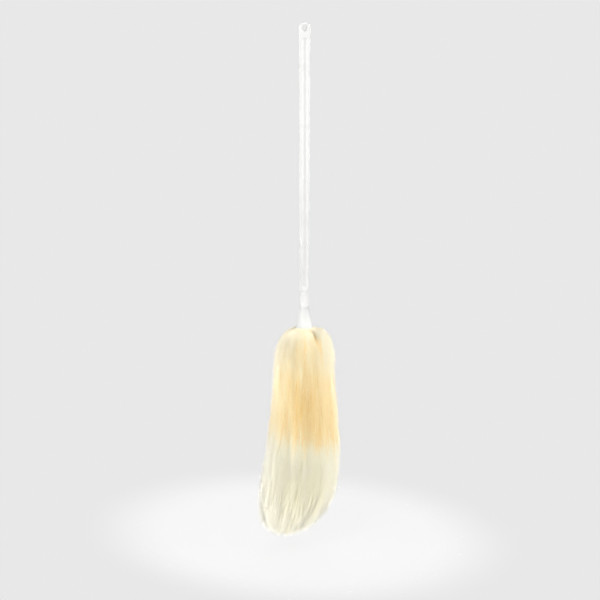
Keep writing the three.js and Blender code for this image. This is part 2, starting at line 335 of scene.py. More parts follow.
def add_node(tree, kind, inputs=None, **settings):
    """A node with the given settings, and with its inputs fed by label or by number."""
    node = tree.nodes.new(kind)
    for name, value in settings.items():
        setattr(node, name, value)
    feed_all(tree, node, inputs or {})
    return node


def math_node(tree, operation, first, second):
    return add_node(tree, "ShaderNodeMath", {0: first, 1: second}, operation=operation).outputs[0]


def noise(tree, vector, scale, detail, roughness):
    inputs = {"Vector": vector, "Scale": scale, "Detail": detail, "Roughness": roughness}
    return add_node(tree, "ShaderNodeTexNoise", inputs).outputs["Fac"]


def mix_colours(tree, factor, first, second):
    node = add_node(tree, "ShaderNodeMix", data_type="RGBA", blend_type="MIX")
    for name, value in (("Factor", factor), ("A", first), ("B", second)):
        feed(tree, next(s for s in node.inputs if s.name == name and s.enabled), value)
    return next(s for s in node.outputs if s.enabled)


def remap(tree, value, low, high, new_low, new_high, **settings):
    inputs = {"Value": value, "From Min": low, "From Max": high, "To Min": new_low, "To Max": new_high}
    return add_node(tree, "ShaderNodeMapRange", inputs, **settings).outputs["Result"]


def vary_finish(group, start, end, pattern, low, high, second_colour):
    """Put out a colour and a roughness that follow a pattern, from the group's own inputs."""
    share = remap(group, pattern, low, high, 0.0, 1.0)
    colour = mix_colours(group, share, start.outputs[second_colour], start.outputs["Colour"])
    group.links.new(colour, end.inputs["Colour"])
    centred = math_node(group, "SUBTRACT", pattern, 0.5)
    spread = math_node(group, "MULTIPLY", centred, start.outputs["Roughness Spread"])
    roughness = math_node(group, "ADD", start.outputs["Roughness"], spread)
    group.links.new(roughness, end.inputs["Roughness"])


FINISH_OUTPUTS = {"Colour": COLOUR, "Roughness": NUMBER, "Height": NUMBER}


def moulded_group():
    """Moulded plastic: a faint cloudiness, fine tool marks along the draw, and orange-peel relief."""
    inputs = {
        "Colour": (0.8, 0.8, 0.8, 1.0),
        "Shade": (0.7, 0.7, 0.7, 1.0),
        "Roughness": 0.3,
        "Roughness Spread": 0.08,
    }
    group, start, end = new_group("moulded_plastic", inputs, FINISH_OUTPUTS)
    place = add_node(group, "ShaderNodeTexCoord").outputs["Object"]
    stretch = add_node(group, "ShaderNodeMapping", {"Vector": place, "Scale": (1.0, 1.0, 0.06)})
    clouds = noise(group, place, scale=45.0, detail=3.0, roughness=0.5)
    draw = noise(group, stretch.outputs["Vector"], scale=1400.0, detail=2.0, roughness=0.6)
    peel = noise(group, place, scale=900.0, detail=1.0, roughness=0.4)
    most_clouds = math_node(group, "MULTIPLY", clouds, 0.7)
    some_draw = math_node(group, "MULTIPLY", draw, 0.3)
    both = math_node(group, "ADD", most_clouds, some_draw)
    vary_finish(group, start, end, both, 0.35, 0.65, "Shade")
    marks = math_node(group, "MULTIPLY", draw, 0.4)
    group.links.new(math_node(group, "ADD", peel, marks), end.inputs["Height"])
    return group


def fibre_group():
    """Wool fibre read from its own map: the dye card runs across it, and the strand along it to its tip.
    The card's tones hold painted light and shade as well as the wool's dyes.
    """
    inputs = {
        "Deep": (0.5, 0.4, 0.2, 1.0),
        "Full": (0.8, 0.6, 0.3, 1.0),
        "Light": (0.9, 0.7, 0.5, 1.0),
        "Pale": (0.9, 0.8, 0.6, 1.0),
        "Tip": (0.9, 0.9, 0.8, 1.0),
        "Tip Amount": 0.5,
    }
    group, start, end = new_group("wool_fibre", inputs, {"Colour": COLOUR})
    card = add_node(group, "ShaderNodeUVMap", uv_map="OFBake")
    apart = add_node(group, "ShaderNodeSeparateXYZ", {"Vector": card.outputs["UV"]})
    tone, along = apart.outputs["X"], apart.outputs["Y"]
    colour = start.outputs["Deep"]
    later_dyes = ("Full", "Light", "Pale")
    for step, label in enumerate(later_dyes):
        share = remap(group, tone, step / len(later_dyes), (step + 1) / len(later_dyes), 0.0, 1.0)
        colour = mix_colours(group, share, colour, start.outputs[label])
    near_tip = remap(group, along, 0.55, 1.0, 0.0, 1.0)
    tipped = math_node(group, "MULTIPLY", near_tip, start.outputs["Tip Amount"])
    group.links.new(mix_colours(group, tipped, colour, start.outputs["Tip"]), end.inputs["Colour"])
    return group


def grain_group():
    """Two scales of mottle and a fine relief, for skin, thread and turned metal."""
    inputs = {
        "Colour": (0.8, 0.8, 0.8, 1.0),
        "Mottle": (0.6, 0.6, 0.6, 1.0),
        "Coarse Scale": 60.0,
        "Fine Scale": 900.0,
        "Roughness": 0.7,
        "Roughness Spread": 0.15,
    }
    group, start, end = new_group("mottle_and_grain", inputs, FINISH_OUTPUTS)
    place = add_node(group, "ShaderNodeTexCoord").outputs["Object"]
    coarse = noise(group, place, start.outputs["Coarse Scale"], detail=3.0, roughness=0.5)
    fine = noise(group, place, start.outputs["Fine Scale"], detail=3.0, roughness=0.5)
    both = math_node(group, "MULTIPLY", math_node(group, "ADD", coarse, fine), 0.5)
    vary_finish(group, start, end, both, 0.38, 0.62, "Mottle")
    group.links.new(fine, end.inputs["Height"])
    return group


moulded = moulded_group()
fibre = fibre_group()
grain = grain_group()


# Materials

def srgb(red, green, blue):
    """A colour written as it looks on screen, 0 to 255, as linear light."""
    def linear(value):
        value /= 255
        return value / 12.92 if value <= 0.04045 else ((value + 0.055) / 1.055) ** 2.4
    return (linear(red), linear(green), linear(blue), 1.0)


def new_material(name, group, values):
    """A material with one shader and one copy of a node group that holds the given values."""
    material = bpy.data.materials.new(name)
    material.use_nodes = True
    tree = material.node_tree
    shader = tree.nodes["Principled BSDF"]
    effect = add_node(tree, "ShaderNodeGroup", values, node_tree=group)
    tree.links.new(effect.outputs["Colour"], shader.inputs["Base Color"])
    return material, shader, effect


def add_relief(material, shader, effect, strength, depth):
    tree = material.node_tree
    inputs = {"Strength": strength, "Distance": depth, "Height": effect.outputs["Height"]}
    bump = add_node(tree, "ShaderNodeBump", inputs)
    feed_all(tree, shader, {"Normal": bump.outputs["Normal"], "Roughness": effect.outputs["Roughness"]})


def plastic(name, colour, shade, roughness, relief):
    values = {"Colour": colour, "Shade": shade, "Roughness": roughness, "Roughness Spread": 0.1}
    material, shader, effect = new_material(name, moulded, values)
    add_relief(material, shader, effect, strength=0.25, depth=relief)
    shader.inputs["IOR"].default_value = 1.5
    return material


def wool(name, deep, full, light, pale, tip):
    values = {"Deep": deep, "Full": full, "Light": light, "Pale": pale, "Tip": tip, "Tip Amount": 0.35}
    material, shader, _ = new_material(name, fibre, values)
    feed_all(material.node_tree, shader, {
        "Roughness": 0.85,
        "Specular IOR Level": 0.2,
        "Sheen Weight": 0.3,
        "Sheen Roughness": 0.5,
        "Sheen Tint": srgb(255, 248, 236),
    })
    return material


def grained(name, colour, mottle, coarse, fine, roughness, relief, metallic=0.0):
    values = {
        "Colour": colour,
        "Mottle": mottle,
        "Coarse Scale": coarse,
        "Fine Scale": fine,
        "Roughness": roughness,
    }
    material, shader, effect = new_material(name, grain, values)
    add_relief(material, shader, effect, strength=0.4, depth=relief)
    shader.inputs["Metallic"].default_value = metallic
    return material


handle_white = plastic(
    "handle_white", srgb(239, 239, 237), srgb(237, 237, 235), roughness=0.28, relief=0.02 * MM,
)
# The ferrule's white is greyer than the handle's: partly a duller plastic, partly painted shade that keeps
# the strongly lit ferrule from going to pure white
ferrule_shaded_white = plastic(
    "ferrule_shaded_white", srgb(225, 225, 223), srgb(221, 221, 219), roughness=0.38, relief=0.03 * MM,
)
core_drab = plastic(
    "core_drab", srgb(214, 206, 190), srgb(202, 193, 176), roughness=0.6, relief=0.04 * MM,
)
gold_fibre = wool(
    "gold_fibre", deep=srgb(236, 192, 112), full=srgb(250, 214, 142), light=srgb(255, 232, 178),
    pale=srgb(255, 246, 218), tip=srgb(255, 240, 202),
)
cream_fibre = wool(
    "cream_fibre", deep=srgb(230, 223, 186), full=srgb(246, 240, 208), light=srgb(254, 249, 224),
    pale=srgb(255, 253, 240), tip=srgb(255, 252, 236),
)
hide_skin = grained(
    "hide_skin", srgb(232, 217, 194), srgb(216, 196, 168),
    coarse=70.0, fine=1100.0, roughness=0.8, relief=0.2 * MM,
)
binding_thread = grained(
    "binding_thread", srgb(235, 230, 216), srgb(214, 207, 188),
    coarse=400.0, fine=2600.0, roughness=0.85, relief=0.2 * MM,
)
tack_steel = grained(
    "tack_steel", srgb(196, 198, 202), srgb(172, 174, 178),
    coarse=300.0, fine=2400.0, roughness=0.34, relief=0.02 * MM, metallic=1.0,
)


# Handle

def bar_half_width(level):
    """Half the width of the bar: it eases in from the eye to the wrist, then tapers to the shoulder."""
    down = -level / FLARE_LENGTH
    if down >= 1.0:
        run = (level + FLARE_LENGTH) / (BAR_END + FLARE_LENGTH)
        return WRIST_HALF + (SHOULDER_HALF - WRIST_HALF) * run
    ease = down * down * (3.0 - 2.0 * down)
    return EYE_RADIUS + (WRIST_HALF - EYE_RADIUS) * ease


def bar():
    """The eye is the upper half of a short round bar, with its open side drawn down to the shoulder."""
    deselect_all()
    bpy.ops.mesh.primitive_cylinder_add(
        vertices=EYE_SIDES, radius=EYE_RADIUS, depth=2 * BAR_HALF_DEPTH, rotation=(math.pi / 2, 0, 0)
    )
    piece = bpy.context.object
    rename(piece, "moulded_handle")
    settle(piece)
    enter_edit(piece)
    bpy.ops.mesh.select_all(action="SELECT")
    bpy.ops.mesh.bisect(plane_co=(0, 0, 0), plane_no=(0, 0, 1), clear_inner=True, use_fill=False)
    leave_edit()
    select_edges(piece, lambda a, b: max(abs(a.z), abs(b.z)) < TOUCH)
    level, half = 0.0, EYE_RADIUS
    stations = [-FLARE_LENGTH * step / FLARE_STEPS for step in range(1, FLARE_STEPS + 1)]
    stations += [BAR_END * 0.5, BAR_END]
    for next_level in stations:
        bpy.ops.mesh.extrude_edges_move(TRANSFORM_OT_translate={"value": (0, 0, next_level - level)})
        next_half = bar_half_width(next_level)
        bpy.ops.transform.resize(value=(next_half / half, 1, 1), center_override=(0, 0, next_level))
        level, half = next_level, next_half
    bpy.ops.mesh.edge_face_add()
    close_seams()

    def on_rim(a, b):
        front_or_back = abs(abs(a.y) - BAR_HALF_DEPTH) < TOUCH and abs(a.y - b.y) < TOUCH
        across = abs(a.z - b.z) < TOUCH and abs(a.x + b.x) < TOUCH and a.z > BAR_END + 10 * TOUCH
        return front_or_back and not across

    def on_end(a, b):
        return max(a.z, b.z) < BAR_END + TOUCH and abs(a.x - b.x) < TOUCH

    select_edges(piece, lambda a, b: on_rim(a, b) or on_end(a, b))
    bpy.ops.mesh.bevel(
        offset=EDGE_ROUND, offset_type="OFFSET", segments=EDGE_STEPS, profile=0.5, affect="EDGES"
    )
    leave_edit()
    return piece


def slot_cutter(profile, facing, middle, rise):
    """A turned cutter along Y, its upper and lower halves drawn apart to make a round form a long one."""
    piece = turned("cutter", profile, CUTTER_SIDES, closed_ring=False)
    piece.rotation_euler = (-facing * math.pi / 2, 0, 0)
    settle(piece)
    for side in (1, -1):
        select_vertices(piece, lambda p: side * p.z > 0.0)
        bpy.ops.transform.translate(value=(0, 0, side * rise))
        leave_edit()
    piece.location = (0, 0, middle)
    settle(piece)
    return piece


def hole_cutter():
    """The slot through the eye, its mouth rounded where it leaves each face."""
    mouth = [(HOLE_RADIUS + HOLE_RIM, 2 * BAR_HALF_DEPTH)]
    for step in range(HOLE_RIM_STEPS + 1):
        turn = math.pi / 2 * step / HOLE_RIM_STEPS
        mouth.append((
            HOLE_RADIUS + HOLE_RIM * (1 - math.sin(turn)),
            BAR_HALF_DEPTH - HOLE_RIM * (1 - math.cos(turn)),
        ))
    profile = [(radius, -level) for radius, level in mouth] + mouth[::-1]
    return slot_cutter(profile, 1, 0.0, HOLE_RISE)


def flute_cutter(facing):
    """A flat floor that rolls up into a rounded ridge on either side, out through one broad face."""
    roll_end = math.cos(FLUTE_ROLL)
    profile = []
    for step in range(FLUTE_STEPS + 1):
        share = step / FLUTE_STEPS
        depth = FLUTE_DEPTH * (math.cos(FLUTE_ROLL * share) - roll_end) / (1 - roll_end)
        half = FLUTE_HALF_FLOOR + (FLUTE_HALF_WIDTH - FLUTE_HALF_FLOOR) * share
        profile.append((half, BAR_HALF_DEPTH - depth))
    profile.append((FLUTE_HALF_WIDTH, BAR_HALF_DEPTH + FLUTE_DEPTH))
    straight = FLUTE_TOP - FLUTE_END - 2 * FLUTE_HALF_WIDTH
    return slot_cutter(profile, facing, (FLUTE_TOP + FLUTE_END) / 2, straight / 2)


def pin_cutter():
    deselect_all()
    bpy.ops.mesh.primitive_cylinder_add(
        vertices=PIN_HOLE_SIDES, radius=PIN_HOLE_RADIUS, depth=4 * NECK_RADIUS,
        location=(0, 0, PIN_LEVEL), rotation=(0, math.pi / 2, 0),
    )
    piece = bpy.context.object
    settle(piece)
    return piece


def neck_and_spigot():
    profile = (
        (NECK_RADIUS, BAR_END + NECK_ROOT),
        (NECK_RADIUS, NECK_END + END_CHAMFER),
        (NECK_RADIUS - END_CHAMFER, NECK_END),
        (SPIGOT_RADIUS, NECK_END),
        (SPIGOT_RADIUS, SPIGOT_END + END_CHAMFER),
        (SPIGOT_RADIUS - END_CHAMFER, SPIGOT_END),
    )
    return turned("neck", profile, NECK_SIDES, closed_ring=False)


def handle():
    piece = bar()
    combine(piece, neck_and_spigot(), "UNION")
    for cutter in (hole_cutter(), flute_cutter(1), flute_cutter(-1), pin_cutter()):
        combine(piece, cutter, "DIFFERENCE")
    soft_shading(piece, 38)
    finish_piece(piece, handle_white, "handle")


# Ferrule

def trumpet(level):
    """Radius of the outside of the ferrule at a level."""
    down = (FERRULE_TOP - level) / (FERRULE_TOP - FERRULE_RIM_LEVEL)
    return FERRULE_THROAT + (FERRULE_RIM - FERRULE_THROAT) * down * down


def ferrule():
    """One wall from the throat down the outside, round the rim, and back up the inside to the bore."""
    outer = np.linspace(FERRULE_TOP - FERRULE_LIP, FERRULE_RIM_LEVEL, FERRULE_STEPS + 1)
    inner = np.linspace(FERRULE_RIM_LEVEL, NECK_END, FERRULE_STEPS + 1)
    half_wall = FERRULE_WALL / 2
    profile = [(FERRULE_BORE, FERRULE_TOP), (FERRULE_THROAT - FERRULE_LIP, FERRULE_TOP)]
    profile += [(trumpet(level), level) for level in outer]
    for step in range(1, FERRULE_RIM_STEPS):
        turn = math.pi * step / FERRULE_RIM_STEPS
        profile.append((
            FERRULE_RIM - half_wall * (1 - math.cos(turn)),
            FERRULE_RIM_LEVEL - half_wall * math.sin(turn),
        ))
    profile += [(trumpet(level) - FERRULE_WALL, level) for level in inner]
    profile.append((FERRULE_BORE, NECK_END))
    profile.append((FERRULE_BORE, FERRULE_TOP))
    piece = turned("trumpet_ferrule", profile, FERRULE_SIDES, closed_ring=True)
    soft_shading(piece, 40)
    finish_piece(piece, ferrule_shaded_white, "ferrule")


# Form of the pile

def lean(level):
    """How far the middle of the pile has swung to the left at a level."""
    below = np.maximum(0.0, WOOL_TIP + LEAN_LENGTH - level)
    run = below / LEAN_LENGTH
    return -TIP_LEAN * ((1.0 - LEAN_HOOK) * run ** 2 + LEAN_HOOK * run ** 4)


def pile_path():
    """Level, half width and half depth of the pile down its side, by distance from its top at the ferrule.

    Above that, where the distance is negative, a short collar lies on the ferrule. Below the fullest level
    the path goes straight down, as hair hangs, and the dome is where it ends."""
    collar_level = np.linspace(WOOL_TOP + COLLAR_RISE, WOOL_TOP, COLLAR_POINTS)[:-1]
    collar_radius = trumpet(collar_level) + COLLAR_GAP
    start = trumpet(WOOL_TOP) + COLLAR_GAP
    turn = np.linspace(0.0, math.pi / 2, SHOULDER_POINTS)
    shoulder_level = WOOL_TOP - SHOULDER_DROP * (1.0 - np.cos(turn))
    shoulder_width = start + (GOLD_HALF_WIDTH - start) * np.sin(turn)
    shoulder_depth = start + (GOLD_HALF_DEPTH - start) * np.sin(turn)
    body_level = np.linspace(WOOL_TOP - SHOULDER_DROP, FULLEST, BODY_POINTS)[1:]
    run = (body_level - FULLEST) / (WOOL_TOP - SHOULDER_DROP - FULLEST)
    ease = run * run * (3.0 - 2.0 * run)
    body_width = CREAM_HALF_WIDTH + (GOLD_HALF_WIDTH - CREAM_HALF_WIDTH) * ease
    body_depth = CREAM_HALF_DEPTH + (GOLD_HALF_DEPTH - CREAM_HALF_DEPTH) * ease
    hang_level = np.linspace(FULLEST, WOOL_TIP - PATH_OVERRUN, HANG_POINTS)[1:]
    hang = np.ones(len(hang_level))
    level = np.concatenate([collar_level, shoulder_level, body_level, hang_level])
    width = np.concatenate([collar_radius, shoulder_width, body_width, CREAM_HALF_WIDTH * hang])
    depth = np.concatenate([collar_radius, shoulder_depth, body_depth, CREAM_HALF_DEPTH * hang])
    steps = np.hypot(np.diff(level), np.diff((width + depth) / 2))
    length = np.concatenate([[0.0], np.cumsum(steps)])
    return length - length[len(collar_level)], level, width, depth


PATH, PATH_LEVEL, PATH_WIDTH, PATH_DEPTH = pile_path()
FULLEST_PATH = float(np.interp(-FULLEST, -PATH_LEVEL, PATH))


def path_at(level):
    """Distance down the pile at a level."""
    return np.interp(-level, -PATH_LEVEL, PATH)


def dome_share(level):
    """How much of the full width is left at a level of the rounded end."""
    down = np.clip((FULLEST - level) / DOME_HEIGHT, 0.0, 1.0)
    return (1.0 - down ** DOME_FULLNESS) ** (1.0 / DOME_FULLNESS)


def pile_point(angle, path, share):
    """A point of the pile: by angle round it, distance down it and share of the way out from its middle."""
    level = np.interp(path, PATH, PATH_LEVEL)
    swell = share * (1.0 + LOCK_SWELL * np.sin(LOCK_WAVES * angle + LOCK_TWIST * level))
    x = lean(level) + np.interp(path, PATH, PATH_WIDTH) * swell * np.cos(angle)
    y = np.interp(path, PATH, PATH_DEPTH) * swell * np.sin(angle)
    return np.stack([x, y, level], axis=-1)


def unit(vectors):
    return vectors / np.maximum(np.linalg.norm(vectors, axis=-1, keepdims=True), 1e-12)


def pile_normal(angle, path):
    """The way out of the pile, from points a little to either side and above and below."""
    step_angle = 0.02
    step_path = 1.0 * MM
    round_it = pile_point(angle + step_angle, path, 1.0) - pile_point(angle - step_angle, path, 1.0)
    above = np.maximum(path - step_path, PATH[0])
    down_it = pile_point(angle, path + step_path, 1.0) - pile_point(angle, above, 1.0)
    return unit(np.cross(down_it, round_it))


def meeting(x):
    """Level of the meeting of the two colours on the outside."""
    return MEETING_LEVEL - MEETING_SLOPE * x


# Marks in the pile: angle round it and half breadth in degrees, with -90 at the front, distance down it and
# half length in millimetres, how far the wool stands out or sinks in, and how much paler or deeper it is
# painted: painted highlight where it stands out and painted shade where it sinks.
# The order is angle, distance, half breadth, half length, stand, tone
MARKS = (
    (-24.0, 17.0, 27.0, 20.0, 5.5, 0.3),
    (-60.0, 16.0, 4.8, 18.0, -6.5, -0.46),
    (-125.0, 80.0, 9.0, 15.0, -1.0, -0.16),
    (-103.0, 72.0, 4.0, 15.0, 1.2, 0.2),
    (-94.0, 70.0, 2.2, 5.0, -2.0, -0.4),
    (-89.0, 112.0, 16.0, 36.0, -0.5, -0.14),
    (-102.0, 151.0, 2.4, 9.0, 0.8, 0.3),
    (-85.0, 179.0, 2.4, 9.0, 0.8, 0.25),
    (-92.0, 205.0, 2.6, 10.0, 0.8, 0.25),
    (-97.0, 202.0, 1.8, 14.0, -2.0, -0.35),
    (-99.0, 236.0, 2.0, 9.0, -2.0, -0.35),
    (-69.0, 222.0, 13.0, 26.0, -0.5, -0.2),
    (89.0, 100.0, 14.0, 40.0, -0.5, -0.12),
    (124.0, 205.0, 3.0, 14.0, -2.0, -0.3),
    (66.0, 60.0, 3.0, 20.0, -2.0, -0.3),
)


def marks_at(angle, path):
    """How far the wool stands out, and the painted highlight and shade that go with it, at points of the
    pile.
    """
    swell = np.zeros_like(path)
    painted_shading = np.zeros_like(path)
    for degrees, down, breadth, length, stand, tone in MARKS:
        turn = np.mod(np.degrees(angle) - degrees + 180.0, 360.0) - 180.0
        near = np.exp(-((turn / breadth) ** 2) - ((path - down * MM) / (length * MM)) ** 2)
        swell += stand * MM * near
        # Painted highlight on the swells and painted shade in the creases
        painted_shading += tone * near
    return swell, painted_shading


# Strands

# Where the points of a strand lie along it, and its girth at each of them but the tip
STATIONS = np.array([0.0, 0.2, 0.42, 0.64, 0.84, 1.0])
STRAND_GIRTH = np.array([0.75, 1.0, 1.0, 0.85, 0.55])

# Corners of its three-sided section, across it and out from the pile
SECTION_ACROSS = np.array([-1.0, 1.0, 0.0])
SECTION_OUT = np.array([-0.5, -0.5, 1.0])
SIDES = len(SECTION_ACROSS)

# How far the shading of a strand follows the pile, and not its own section
PILE_FACING = 0.95

# A strand on the dye card: the breadth of one of its sides, and what is left free at its ends
CARD_STEP = 0.01
CARD_MARGIN = 0.01

# Where a strand's colour is decided: a share of its fall, and the station whose place across it counts
SPLIT_SHARE = 0.72
SPLIT_STATION = 3

# Strands down the side. Lengths are in millimetres, and a pair is a lowest and highest value or a mean and
# a spread
SIDE_SEED = 11
SIDE_START = -4.0
SIDE_STOP = 12.0
SIDE_SAMPLES = 400
SIDE_GIRTH_FROM = 6.0
COLLAR_DENSE = 5.0
COLLAR_DENSITY = 2.5
LOCK_LENGTH = (52.0, 84.0)
LOCK_DRIFT = (0.0, 2.2)
LOCK_LIFT = (-3.2, 1.1)
LOCK_TONE = (0.0, 0.1)
LOCK_WIDTH = (2.2, 3.8)
LOCK_GATHER = (0.2, 0.6)
GATHER_CURVE = 1.3
STRAY_SHARE = 0.34
STRAY_LIFT = (-1.5, 5.5)
FINE_SHARE = 0.2
STRAND_START = (-9.0, 9.0)
STRAND_LENGTH = (0.82, 1.1)
STRAND_END = (-28.0, 34.0)
STRAND_SHORTEST = 16.0
STRAND_ROOT = (3.0, 6.5)
ROOT_AT_TOP = 0.4
ROOT_DEEPENING = 0.3
ROOT_CURVE = 1.7
MARK_ONSET = 5.0
STRAND_LIFT = (0.0, 0.9)
STRAND_TURN = (0.0, 0.15)
CRIMP_SIZE = (0.2, 0.7)
CRIMP_START = (0.0, 6.28)
CRIMP_WAVES = (9.0, 16.0)
COARSE_GIRTH = (0.5, 0.95)
COARSE_FLATNESS = 0.25

# Strands that hang inside the rounded end, in the same units
END_SEED = 12
END_SPREAD = 0.91
END_LOCK_TONE = (0.0, 0.07)
END_LOCK_SHIFT = (0.0, 1.6)
END_LOCK_DROP = (0.0, 1.0)
END_FINE_SHARE = 0.4
END_RISE = (1.5, 2.0)
END_FINE_DROP = 7.0
END_LENGTH = (34.0, 52.0)
END_OFFSET = (0.0, 2.4)
END_GATHER = 0.3
END_FACING = 0.4
END_TURN = (0.0, 0.4)
END_COARSE_GIRTH = (0.35, 0.65)
END_COARSE_FLATNESS = 0.3

# Both kinds: few of the fine ones stand out far, and they are paler
FINE_GIRTH = 0.16
FINE_BIAS = 1.6
FINE_PALER = 0.2
STRAND_TONE = (0.0, 0.06)


def even_spread(count):
    """Points in the unit square that keep an even distance, from a two-dimensional golden ratio."""
    ratio = 1.32471795724474602596
    index = np.arange(1, count + 1)
    return np.mod(0.5 + index / ratio, 1.0), np.mod(0.5 + index / ratio ** 2, 1.0)


def strand_faces(rings):
    """Faces of one closed strand: each corner's point, side and ring, and each face's number of corners."""
    points = [2, 1, 0]
    sides = [2, 1, 0]
    on_rings = [0, 0, 0]
    sizes = [3]
    for ring in range(rings - 1):
        here = ring * SIDES
        below = here + SIDES
        for side in range(SIDES):
            after = (side + 1) % SIDES
            points += [here + side, here + after, below + after, below + side]
            sides += [side, side + 1, side + 1, side]
            on_rings += [ring, ring, ring + 1, ring + 1]
            sizes.append(4)
    last = (rings - 1) * SIDES
    tip = rings * SIDES
    for side in range(SIDES):
        points += [last + side, last + (side + 1) % SIDES, tip]
        sides += [side, side + 1, side]
        on_rings += [rings - 1, rings - 1, rings]
        sizes.append(3)
    return np.array(points), np.array(sides), np.array(on_rings), np.array(sizes)


def strand_mesh(name, strands, tone):
    """Closed tapered strands, three-sided, along rows of centre points, with a map for the dye card."""
    centres, normals = strands["centres"], strands["normals"]
    count, stations, _ = centres.shape
    rings = stations - 1
    along = unit(np.gradient(centres, axis=1))
    across = unit(np.cross(normals, along))
    out = np.cross(along, across)
    turn = strands["turn"][:, None, None]
    sideways = np.cos(turn) * across + np.sin(turn) * out
    upwards = np.cos(turn) * out - np.sin(turn) * across
    outwards = strands["flatness"][:, None] * SECTION_OUT[None, :]
    spoke = (
        SECTION_ACROSS[None, None, :, None] * sideways[:, :rings, None, :]
        + outwards[:, None, :, None] * upwards[:, :rings, None, :]
    )
    radius = strands["girth"][:, None] * STRAND_GIRTH[None, :]
    ring_points = centres[:, :rings, None, :] + radius[:, :, None, None] * spoke
    points = np.concatenate([ring_points.reshape(count, rings * SIDES, 3), centres[:, -1:, :]], axis=1)
    point_count = rings * SIDES + 1

    face_points, face_sides, face_rings, face_sizes = strand_faces(rings)
    corners = len(face_points)
    corner_points = (np.arange(count)[:, None] * point_count + face_points[None, :]).ravel()
    sizes = np.tile(face_sizes, count)
    starts = np.concatenate([[0], np.cumsum(sizes)[:-1]])
    across_card = tone[:, face_rings] + CARD_STEP * face_sides[None, :]
    along_strand = STATIONS[face_rings] * (1.0 - 2.0 * CARD_MARGIN) + CARD_MARGIN
    along_card = np.broadcast_to(along_strand[None, :], (count, corners))

    mesh = bpy.data.meshes.new(name)
    mesh.vertices.add(count * point_count)
    mesh.vertices.foreach_set("co", points.astype(np.float32).ravel())
    mesh.loops.add(count * corners)
    mesh.loops.foreach_set("vertex_index", corner_points.astype(np.int32))
    mesh.polygons.add(len(sizes))
    mesh.polygons.foreach_set("loop_start", starts.astype(np.int32))
    mesh.polygons.foreach_set("loop_total", sizes.astype(np.int32))
    mesh.update(calc_edges=True)
    lay_on_card(mesh, across_card, along_card)
    mesh.polygons.foreach_set("use_smooth", np.ones(len(sizes), dtype=bool))
    facing = unit(PILE_FACING * normals[:, :rings, None, :] + (1.0 - PILE_FACING) * spoke)
    facing = np.concatenate([facing.reshape(count, rings * SIDES, 3), normals[:, -1:, :]], axis=1)
    mesh.normals_split_custom_set_from_vertices(facing.reshape(-1, 3).astype(np.float32))
    piece = bpy.data.objects.new(name, mesh)
    scene.collection.objects.link(piece)
    return piece


def lay_on_card(mesh, across, along):
    """Give each corner of a mesh its place on the dye card, which the wool's colour is read from."""
    card = np.stack([across, along], axis=-1)
    layer = mesh.uv_layers.new(name="OFBake")
    layer.data.foreach_set("uv", card.astype(np.float32).ravel())


